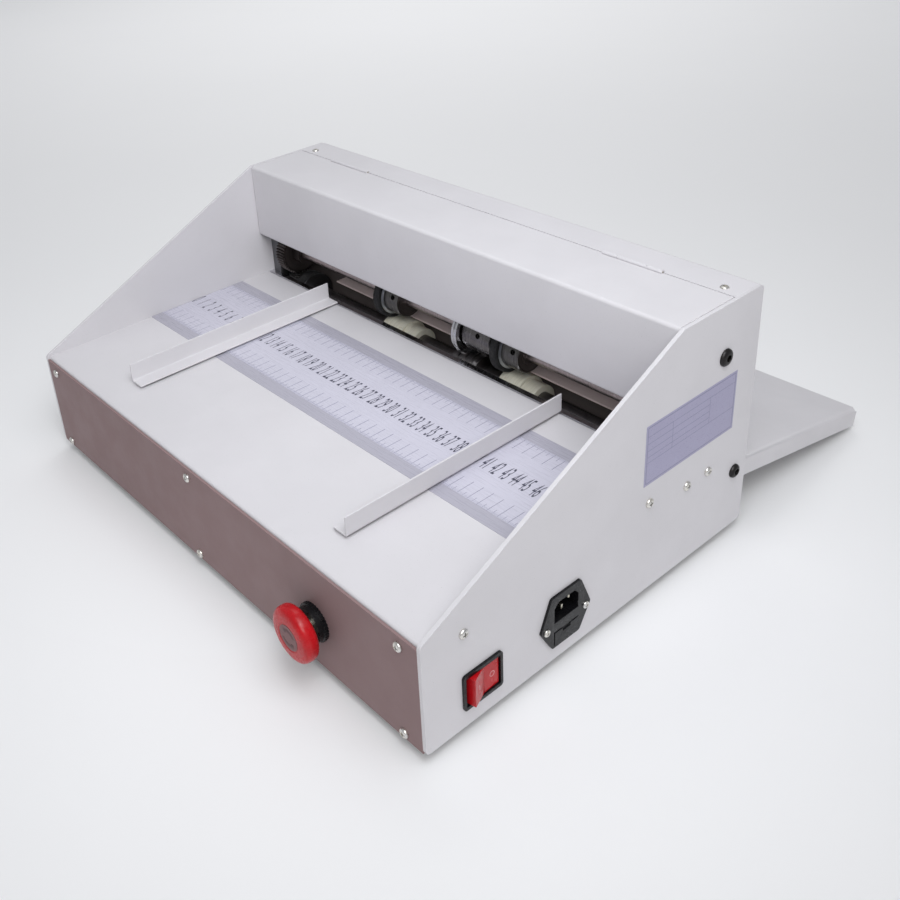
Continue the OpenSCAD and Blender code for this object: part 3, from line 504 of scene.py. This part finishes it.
def scale_print(name, settings):
    """Laminated scale plate with a grey stripe along its front and rear edges."""
    material = printed_sheet(name, settings.plate, 0.30)
    tree = material.node_tree
    shader = tree.nodes["Principled BSDF"]
    old = shader.inputs["Base Color"].links[0].from_socket
    place = tree.nodes["Texture Coordinate"].outputs["Object"]
    split = tree.nodes.new("ShaderNodeSeparateXYZ")
    tree.links.new(place, split.inputs[0])
    low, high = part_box("scale_plate")
    middle = (low.y + high.y) / 2
    half = (high.y - low.y) / 2 - STRIPE_WIDTH
    reach = tree.nodes.new("ShaderNodeMath")
    reach.operation = "SUBTRACT"
    reach.inputs[1].default_value = middle
    tree.links.new(split.outputs[1], reach.inputs[0])
    away = tree.nodes.new("ShaderNodeMath")
    away.operation = "ABSOLUTE"
    tree.links.new(reach.outputs[0], away.inputs[0])
    edge = tree.nodes.new("ShaderNodeMapRange")
    edge.inputs["From Min"].default_value = half - 0.00015
    edge.inputs["From Max"].default_value = half + 0.00015
    tree.links.new(away.outputs[0], edge.inputs["Value"])
    mixed = tree.nodes.new("ShaderNodeMix")
    mixed.data_type = "RGBA"
    tree.links.new(edge.outputs["Result"], mixed.inputs[0])
    tree.links.new(old, mixed.inputs[6])
    mixed.inputs[7].default_value = (*settings.stripe, 1)
    tree.links.new(mixed.outputs[2], shader.inputs["Base Color"])
    return material


# ---- Meshes -----------------------------------------------------------------


def new_piece(name, form, material, body, stands_for=()):
    """Turns a bmesh into a piece that rides on a body and takes a slot's finish."""
    bmesh.ops.recalc_face_normals(form, faces=form.faces)
    mesh = bpy.data.meshes.new(name)
    form.to_mesh(mesh)
    form.free()
    mesh.shade_smooth()
    mesh.set_sharp_from_angle(angle=math.radians(32))
    mesh.materials.append(material)
    piece = bpy.data.objects.new(name, mesh)
    bpy.context.scene.collection.objects.link(piece)
    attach(piece, body)
    if stands_for:
        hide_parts(*stands_for)
    return piece


def break_edges(piece, radius, segments=2, angle=30):
    """Rounds the sharp edges of a piece."""
    bevel = piece.modifiers.new("Broken edges", "BEVEL")
    bevel.width = radius
    bevel.segments = segments
    bevel.limit_method = "ANGLE"
    bevel.angle_limit = math.radians(angle)
    bevel.harden_normals = True
    bevel.use_clamp_overlap = True
    return piece


def refined(node, radius, segments=2, material=None, angle=30):
    """A finer copy of a CAD node: merged flat faces and rounded edges."""
    form = bmesh.new()
    form.from_mesh(frame["nodes"][node].data)
    bmesh.ops.remove_doubles(form, verts=form.verts, dist=1e-6)
    bmesh.ops.dissolve_limit(form, angle_limit=math.radians(0.6), verts=form.verts,
                             edges=form.edges)
    slot = SLOT_OF[node]
    piece = new_piece(node + "_shell", form, material or finish(slot), BODY_OF[node], (node,))
    return break_edges(piece, radius, segments, angle)


def dress(material, *nodes):
    """Gives CAD nodes whose shape is right a better material."""
    for node in nodes:
        body = frame["nodes"][node]
        if not body.material_slots:
            body.data.materials.append(material)
        for holder in body.material_slots:
            holder.material = material


def basis(axis):
    """Two unit vectors across an axis and the axis itself."""
    along = Vector(axis).normalized()
    side = Vector((0, 0, 1)) if abs(along.z) < 0.9 else Vector((1, 0, 0))
    u = side.cross(along).normalized()
    return u, along.cross(u), along


def lathe(form, profile, centre, axis, steps=96, closed=False):
    """Adds a turned body from (radius, place along the axis) points."""
    u, v, w = basis(axis)
    rings = []
    for radius, place in profile:
        if radius <= 0:
            rings.append([form.verts.new(centre + w * place)])
            continue
        rings.append([
            form.verts.new(centre + w * place + (u * math.cos(a) + v * math.sin(a)) * radius)
            for a in (2 * math.pi * k / steps for k in range(steps))])
    pairs = list(zip(rings, rings[1:])) + ([(rings[-1], rings[0])] if closed else [])
    for low, high in pairs:
        if len(low) == 1 and len(high) == 1:
            continue
        for k in range(steps):
            after = (k + 1) % steps
            if len(low) == 1:
                form.faces.new((low[0], high[after], high[k]))
            elif len(high) == 1:
                form.faces.new((low[k], low[after], high[0]))
            else:
                form.faces.new((low[k], low[after], high[after], high[k]))
    return form


def prism(form, outline, across, up, start, reach):
    """Adds a straight prism: outline in the plane across/up, raised by reach from start."""
    low = [form.verts.new(start + across * x + up * y) for x, y in outline]
    high = [form.verts.new(v.co + reach) for v in low]
    form.faces.new(low)
    form.faces.new(list(reversed(high)))
    for k in range(len(low)):
        after = (k + 1) % len(low)
        form.faces.new((low[after], low[k], high[k], high[after]))
    return form


def bar(form, low, high):
    """Adds a straight bar between two corners."""
    outline = [(0, 0), (high.x - low.x, 0), (high.x - low.x, high.y - low.y), (0, high.y - low.y)]
    return prism(form, outline, Vector((1, 0, 0)), Vector((0, 1, 0)), low,
                 Vector((0, 0, high.z - low.z)))


def rounded_profile(points, radius, steps=4):
    """The same (radius, place) profile with each inner corner rounded."""
    done = [points[0]]
    for before, here, after in zip(points, points[1:], points[2:]):
        b, h, a = (Vector(p) for p in (before, here, after))
        reach = min(radius, (b - h).length * 0.45, (a - h).length * 0.45)
        start, end = h + (b - h).normalized() * reach, h + (a - h).normalized() * reach
        for k in range(steps + 1):
            t = k / steps
            p = start * (1 - t) ** 2 + h * 2 * t * (1 - t) + end * t ** 2
            done.append((p.x, p.y))
    done.append(points[-1])
    return done


def letters(text, scale):
    """A word as a closed mesh, its middle at the origin and its face up, scaled on each axis."""
    curve = bpy.data.curves.new("mark", "FONT")
    curve.body = text
    curve.extrude = 0.5
    curve.resolution_u = 6
    holder = bpy.data.objects.new("mark", curve)
    bpy.context.scene.collection.objects.link(holder)
    graph = bpy.context.evaluated_depsgraph_get()
    graph.update()
    mesh = bpy.data.meshes.new_from_object(holder.evaluated_get(graph))
    bpy.data.objects.remove(holder)
    bpy.data.curves.remove(curve)
    lows = [min(v.co[k] for v in mesh.vertices) for k in range(3)]
    highs = [max(v.co[k] for v in mesh.vertices) for k in range(3)]
    for vertex in mesh.vertices:
        for k in range(3):
            vertex.co[k] = (vertex.co[k] - (lows[k] + highs[k]) / 2) * scale[k]
    return mesh


# ---- Pieces -----------------------------------------------------------------


class BodyOperator(bpy.types.Operator):
    """Paints the side plates, front panel and rear skirt and finishes the base plate."""

    bl_idname = "creaser.dress_body"
    bl_label = "Body"

    def execute(self, context):
        edge = context.scene.creaser_paint.edge
        for node in ("left_side_plate", "right_side_plate"):
            refined(node, edge * 1.3, 3)
        # The front panel's darker brown coat is painted shade and a painted warm reflection.
        refined("front_panel", edge, material=finish("front_painted_shade"))
        refined("rear_skirt", edge)
        refined("base_plate", edge * 0.5)
        refined("tie_bar", edge, material=finish("upper_steel"))
        return {"FINISHED"}


class TableOperator(bpy.types.Operator):
    """Paints the feed table, polishes its edge strip, gives the exit plate a light warm tan that
    is painted warm light, and hangs a dark board under the exit plate as painted shade.
    """

    bl_idname = "creaser.dress_table"
    bl_label = "Feed table"

    def execute(self, context):
        edge = context.scene.creaser_paint.edge
        refined("feed_table", edge)
        # The exit plate's light warm tan is painted warm light under the hood.
        refined("exit_plate", edge, material=finish("exit_paint"))
        refined("table_edge_strip", edge * 0.5)
        # A dark board under the exit plate: painted shade over the tray behind it.
        shade_piece = bar(bmesh.new(), at(*SHADE_BOARD_LOW), at(*SHADE_BOARD_HIGH))
        break_edges(new_piece("exit_painted_shade_board", shade_piece, finish("painted_shade_dark"), "frame"), edge * 0.5)
        return {"FINISHED"}


class ScaleOperator(bpy.types.Operator):
    """Prints the ruler on the scale plate: marks from both stripes and numbered centimetres."""

    bl_idname = "creaser.print_scale"
    bl_label = "Scale plate"

    def execute(self, context):
        settings = context.scene.creaser_scale
        refined("scale_plate", 0.0001)
        low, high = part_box("scale_plate")
        first = at(RULER_ZERO_X, 0, 0).x
        marks = bmesh.new()
        for tenth in range(settings.last * 10 + 1):
            if tenth % 10 == 0:
                width, front, rear = 0.00045, 0.0175, 0.0157
            elif tenth % 5 == 0:
                width, front, rear = 0.00036, 0.0052, 0.0052
            else:
                width, front, rear = 0.00018, 0.0026, 0.0026
            x = first + tenth * MM
            near, far = low.y + STRIPE_WIDTH, high.y - STRIPE_WIDTH
            for start, end in ((near, near + front), (far - rear, far)):
                bar(marks, Vector((x - width / 2, start, high.z)),
                    Vector((x + width / 2, end, high.z + INK_THICK)))
        new_piece("scale_marks", marks, finish("line_ink"), "frame")

        sample = letters("44", (1, 1, 1))
        wide, tall = (max(v.co[k] for v in sample.vertices) * 2 for k in (0, 1))
        scale = (settings.digit * 0.37 / wide, settings.digit / tall, INK_THICK)
        bpy.data.meshes.remove(sample)
        numbers = bmesh.new()
        middle = (low.y + high.y) / 2
        for centimetre in range(settings.last + 1):
            mesh = letters(str(centimetre), scale)
            mesh.transform(Matrix.Translation(
                (first + centimetre * 0.01, middle, high.z + INK_THICK / 2)))
            numbers.from_mesh(mesh)
            bpy.data.meshes.remove(mesh)
        new_piece("scale_numbers", numbers, finish("dark_ink"), "frame")
        return {"FINISHED"}


class HoodOperator(bpy.types.Operator):
    """Paints both parts of the hood and finishes their hinges."""

    bl_idname = "creaser.dress_hood"
    bl_label = "Hood"

    def execute(self, context):
        edge = context.scene.creaser_paint.edge
        refined("hinged_cover", edge)
        refined("rear_cover", edge)
        refined("hinge_fixed_leaves", 0.00015, material=finish("grey_paint"))
        refined("hinge_moving_leaves", 0.00015, material=finish("grey_paint"))
        dress(finish("pin_metal"), "hinge_pins")
        return {"FINISHED"}


class TrayOperator(bpy.types.Operator):
    """Paints the output tray and finishes its shoulder bolts and stop pins."""

    bl_idname = "creaser.dress_tray"
    bl_label = "Output tray"

    def execute(self, context):
        refined("output_tray", context.scene.creaser_paint.edge)
        refined("tray_pivots", 0.0002)
        refined("tray_stop_pins", 0.0003, material=finish("pin_metal"))
        return {"FINISHED"}


class GuideOperator(bpy.types.Operator):
    """Paints the two sliding paper guides and finishes their magnets."""

    bl_idname = "creaser.dress_guides"
    bl_label = "Paper guides"

    def execute(self, context):
        edge = context.scene.creaser_paint.edge
        for side in ("left", "right"):
            refined(side + "_guide", edge)
            refined(side + "_guide_magnets", edge * 0.6)
        return {"FINISHED"}


class StopOperator(bpy.types.Operator):
    """Builds the emergency stop's head with its disc and twist arrows, and its collar."""

    bl_idname = "creaser.build_stop"
    bl_label = "Emergency stop"

    def execute(self, context):
        centre = Vector((STOP_X, FRONT_Y, STOP_Z))
        out = Vector((0, -1, 0))
        side = rounded_profile(
            [(8.05, 16.1), (8.05, 12.0), (19.6, 12.0), (21.6, 14.2), (21.65, 19.2),
             (20.6, 21.9), (17.6, 23.5), (13.0, 23.9), (10.9, 24.0), (10.7, 23.7),
             (10.2, 23.6)], 1.6)
        profile = [(0, 16.1)] + side + [(0, 23.6)]
        form = lathe(bmesh.new(), [(r * MM, p * MM) for r, p in profile], centre, out, 128)
        new_piece("stop_mushroom", form, finish("stop_red"), "stop_button",
                  ("estop_head",))

        disc = [(0, 23.5), (10.1, 23.5), (10.1, 23.78), (9.95, 23.88), (0, 23.9)]
        form = lathe(bmesh.new(), [(r * MM, p * MM) for r, p in disc], centre, out, 96)
        new_piece("stop_twist_disc", form, finish("stop_disc"), "stop_button")

        arrows = bmesh.new()
        for turn in (0, math.pi):
            arc = [turn + math.radians(20 + 105 * k / 18) for k in range(19)]
            outline = [(7.1 * math.cos(a), 7.1 * math.sin(a)) for a in arc]
            tip = arc[-1] + math.radians(26)
            outline += [(8.4 * math.cos(arc[-1]), 8.4 * math.sin(arc[-1])),
                        (6.3 * math.cos(tip), 6.3 * math.sin(tip)),
                        (4.2 * math.cos(arc[-1]), 4.2 * math.sin(arc[-1]))]
            outline += [(5.5 * math.cos(a), 5.5 * math.sin(a)) for a in reversed(arc)]
            prism(arrows, [(x * MM, z * MM) for x, z in outline], Vector((1, 0, 0)),
                  Vector((0, 0, 1)), centre + out * 0.0238, out * 0.00018)
        new_piece("stop_twist_arrows", arrows, finish("arrow_ink"), "stop_button")

        refined("estop_collar", 0.0003, material=finish("black_plastic"))
        refined("estop_contact_block", 0.0008, material=finish("black_plastic"))
        dress(finish("pin_metal"), "estop_plunger")
        return {"FINISHED"}


class RockerOperator(bpy.types.Operator):
    """Finishes the power rocker and its housing and prints the on and off symbols."""

    bl_idname = "creaser.build_rocker"
    bl_label = "Power rocker"

    def execute(self, context):
        refined("rocker_housing", 0.0005, 3)
        refined("rocker", 0.0007, 3)
        low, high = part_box("rocker_housing")
        centre = Vector((X_OUT - ROCKER_PIVOT_DEPTH, at(0, ROCKER_PIVOT_Y, 0).y,
                         (low.z + high.z) / 2))
        tilt = Matrix.Rotation(math.radians(12), 3, "Z")
        up = Vector((0, 0, 1))
        marks = bmesh.new()
        for side in (-1, 1):
            along = (tilt @ Vector((2.4 * side, 13.6, 0))).normalized()
            normal = along.cross(up)
            spot = centre + tilt @ (Vector((5.6 + 2.4 * 7.4 / 13.6, 7.4 * side, 0)) * MM)
            if side > 0:
                ring = [(1.75, -0.1), (2.35, -0.1), (2.35, 0.06), (1.75, 0.06)]
                lathe(marks, [(r * MM, p * MM) for r, p in ring], spot, normal, 48, closed=True)
            else:
                outline = [(-0.3, -2.3), (0.3, -2.3), (0.3, 2.3), (-0.3, 2.3)]
                prism(marks, [(x * MM, z * MM) for x, z in outline], along, up,
                      spot - normal * 0.0001, normal * 0.00016)
        new_piece("rocker_symbols", marks, finish("mark_ink"), "power_rocker")
        return {"FINISHED"}


class InletOperator(bpy.types.Operator):
    """Finishes the mains inlet with its pins, screws, fuse drawer and fuse."""

    bl_idname = "creaser.dress_inlet"
    bl_label = "Mains inlet"

    def execute(self, context):
        refined("inlet_housing", 0.0006, 3)
        refined("fuse_drawer", 0.0004)
        refined("inlet_pins", 0.0004, material=finish("pin_metal"))
        refined("inlet_screws", 0.00015, material=finish("bright_screws"))
        dress(finish("fuse_glass"), "fuse")
        return {"FINISHED"}


class LabelOperator(bpy.types.Operator):
    """Makes the rating label: a laminated sheet with blank ruled rows and columns."""

    bl_idname = "creaser.print_label"
    bl_label = "Rating label"

    def execute(self, context):
        refined("rating_label", 0.0001)
        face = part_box("rating_label")[1].x
        left, right, foot, head = 215.4, 318.6, 100.0, 146.8
        thin, bold = 0.32, 0.55
        rows = [(left, right, foot, bold), (left, right, head, bold), (left, right, 139.3, thin),
                (left, 288.1, 133.4, thin), (left, 288.1, 127.6, thin),
                (left, 288.1, 122.2, thin), (left, right, 117.4, thin)]
        columns = [(foot, head, left, bold), (foot, head, right, bold),
                   (117.4, 139.3, 243.9, thin), (117.4, 139.3, 288.1, thin)]
        lines = bmesh.new()
        for start, end, z, wide in rows:
            a, b = at(0, start, z - wide / 2), at(0, end, z + wide / 2)
            bar(lines, Vector((face, a.y, a.z)), Vector((face + INK_THICK, b.y, b.z)))
        for start, end, y, wide in columns:
            a, b = at(0, y - wide / 2, start), at(0, y + wide / 2, end)
            bar(lines, Vector((face, a.y, a.z)), Vector((face + INK_THICK, b.y, b.z)))
        new_piece("label_ruling", lines, finish("line_ink"), "frame")
        return {"FINISHED"}


class WheelOperator(bpy.types.Operator):
    """Finishes the upper shaft with its feed wheels, hubs, set screws and creasing head."""

    bl_idname = "creaser.dress_wheels"
    bl_label = "Feed wheels"

    def execute(self, context):
        steel = finish("upper_steel")
        refined("upper_shaft", 0.0002, material=steel)
        for side in ("left", "right"):
            refined(side + "_feed_tyre", 0.0003, angle=20)
            refined(side + "_feed_hub", 0.0002, angle=20)
        refined("creasing_head", 0.00015, material=finish("head_steel"), angle=20)
        lean = math.radians(70)
        out = Vector((0, -math.sin(lean), math.cos(lean)))
        screw = [(0, 13.4), (0.8, 13.0), (1.25, 13.2), (1.3, 15.7), (1.9, 15.8), (2.4, 15.3),
                 (2.4, 9.0), (0, 9.0)]
        form = bmesh.new()
        for x in SET_SCREWS_X:
            lathe(form, [(r * MM, p * MM) for r, p in screw],
                  upper_axis() + Vector((x * MM, 0, 0)), out, 32)
        new_piece("hub_set_screws", form, finish("dark_bolts"), "upper_wheel_shaft")
        return {"FINISHED"}


class RollerOperator(bpy.types.Operator):
    """Finishes the lower shaft with its nylon rollers and the grooved anvil."""

    bl_idname = "creaser.dress_rollers"
    bl_label = "Lower rollers"

    def execute(self, context):
        steel = finish("lower_steel")
        refined("lower_shaft", 0.0002, material=steel)
        refined("crease_anvil", 0.00015, material=steel, angle=20)
        refined("left_nylon_roller", 0.0003, angle=20)
        refined("right_nylon_roller", 0.0003, angle=20)
        return {"FINISHED"}


class DriveOperator(bpy.types.Operator):
    """Finishes the bearings, gears, belt drive, gear motor and control board."""

    bl_idname = "creaser.dress_drive"
    bl_label = "Drive"

    def execute(self, context):
        for side in ("left", "right"):
            refined(side + "_bearing_block", 0.0004)
        refined("ball_bearings", 0.0002, material=finish("upper_steel"))
        refined("upper_gear", 0.00012, 1, finish("gear_steel"))
        refined("lower_gear", 0.00012, 1, finish("lower_gear_steel"))
        refined("driven_pulley", 0.00012, 1, finish("pulley_alloy"))
        refined("motor_pulley", 0.00012, 1, finish("pulley_alloy"))
        refined("drive_belt", 0.0003, material=finish("belt_rubber"))
        refined("gear_motor", 0.0008, 3)
        refined("motor_bracket", 0.0003)
        refined("control_board", 0.0003)
        return {"FINISHED"}


class FastenerOperator(bpy.types.Operator):
    """Finishes the panel and side screws, the dark frame bolts and the rubber feet."""

    bl_idname = "creaser.dress_fasteners"
    bl_label = "Screws and feet"

    def execute(self, context):
        for node in ("panel_screws", "side_screws", "foot_screws"):
            refined(node, 0.00015, material=finish("bright_screws"))
        refined("frame_bolts", 0.0002, material=finish("dark_bolts"))
        refined("rubber_feet", 0.0008, 3)
        return {"FINISHED"}


class StageOperator(bpy.types.Operator):
    """Lays the floor and sets the soft lights and the camera."""

    bl_idname = "creaser.set_stage"
    bl_label = "Floor, light and camera"

    def execute(self, context):
        scene = context.scene
        scene.view_settings.view_transform = "Standard"
        settings = scene.creaser_stage
        form = lathe(bmesh.new(), [(0, 0), (1, 0), (4, 0), (16, 0)], Vector((0, 0, 0)),
                     Vector((0, 0, 1)), 96)
        mesh = bpy.data.meshes.new("stage_floor")
        form.to_mesh(mesh)
        form.free()
        mesh.materials.append(finish("stage_floor"))
        floor = bpy.data.objects.new("stage_floor", mesh)
        scene.collection.objects.link(floor)

        room = bpy.data.worlds.new("room_light")
        room.use_nodes = True
        light = room.node_tree.nodes["Background"]
        light.inputs["Color"].default_value = (0.94, 0.96, 1.0, 1)
        light.inputs["Strength"].default_value = settings.sky
        scene.world = room

        soft_light("key_light", (1.35, -1.05, 1.65), (0, 0, 0.1), 1.3, settings.key,
                   (1.0, 0.99, 0.98))
        soft_light("fill_light", (0.36, -0.22, 0.80), (-0.06, -0.06, 0.10), 0.5, settings.fill,
                   (0.93, 0.96, 1.0), 90)
        soft_light("back_light", (-1.7, 1.5, 2.3), (-1.7, 1.5, 0), 2.4, settings.back,
                   (1.0, 1.0, 1.0), 100)

        eye = bpy.data.cameras.new("photo_camera")
        eye.sensor_fit = "HORIZONTAL"
        eye.sensor_width = 36
        eye.lens = settings.lens
        eye.shift_x, eye.shift_y = CAMERA_SHIFT
        eye.clip_start, eye.clip_end = 0.01, 60
        holder = bpy.data.objects.new("photo_camera", eye)
        holder.location = at(*CAMERA_PLACE)
        holder.rotation_euler = [math.radians(turn) for turn in CAMERA_TURN]
        scene.collection.objects.link(holder)
        scene.camera = holder
        return {"FINISHED"}


def soft_light(name, place, target, size, power, colour, spread=180):
    """A square area light that faces a target and spreads over an angle in degrees."""
    lamp = bpy.data.lights.new(name, "AREA")
    lamp.shape = "SQUARE"
    lamp.size = size
    lamp.energy = power
    lamp.color = colour
    lamp.spread = math.radians(spread)
    holder = bpy.data.objects.new(name, lamp)
    holder.visible_camera = False
    holder.location = place
    aim = Vector(target) - Vector(place)
    holder.rotation_euler = aim.to_track_quat("-Z", "Y").to_euler()
    bpy.context.scene.collection.objects.link(holder)


# ---- Sidebar ----------------------------------------------------------------


SETTINGS = {
    "creaser_paint": PaintSettings, "creaser_scale": ScaleSettings,
    "creaser_trim": TrimSettings, "creaser_stage": StageSettings,
}
PIECES = (
    BodyOperator, TableOperator, ScaleOperator, HoodOperator, TrayOperator, GuideOperator,
    StopOperator, RockerOperator, InletOperator, LabelOperator, WheelOperator,
    RollerOperator, DriveOperator, FastenerOperator, StageOperator,
)


class CreaserPanel(bpy.types.Panel):
    """Settings and pieces of the creasing machine."""

    bl_idname = "VIEW3D_PT_creaser"
    bl_label = "Creasing machine"
    bl_space_type = "VIEW_3D"
    bl_region_type = "UI"
    bl_category = "Creaser"

    def draw(self, context):
        for holder in SETTINGS:
            box = self.layout.box()
            settings = getattr(context.scene, holder)
            for name in settings.bl_rna.properties.keys():
                if name not in ("rna_type", "name"):
                    box.prop(settings, name)
        column = self.layout.column(align=True)
        for piece in PIECES:
            column.operator(piece.bl_idname)


CLASSES = (*SETTINGS.values(), *PIECES, CreaserPanel)


def register():
    for item in CLASSES:
        bpy.utils.register_class(item)
    for name, kind in SETTINGS.items():
        setattr(bpy.types.Scene, name, bpy.props.PointerProperty(type=kind))


def unregister():
    for name in SETTINGS:
        delattr(bpy.types.Scene, name)
    for item in reversed(CLASSES):
        bpy.utils.unregister_class(item)


def main():
    register()
    for piece in PIECES:
        name = piece.bl_idname.split(".")[1]
        if getattr(bpy.ops.creaser, name)() != {"FINISHED"}:
            raise RuntimeError(f"{piece.bl_label} was not finished")
    bpy.context.view_layer.update()


if __name__ == "__main__":
    main()
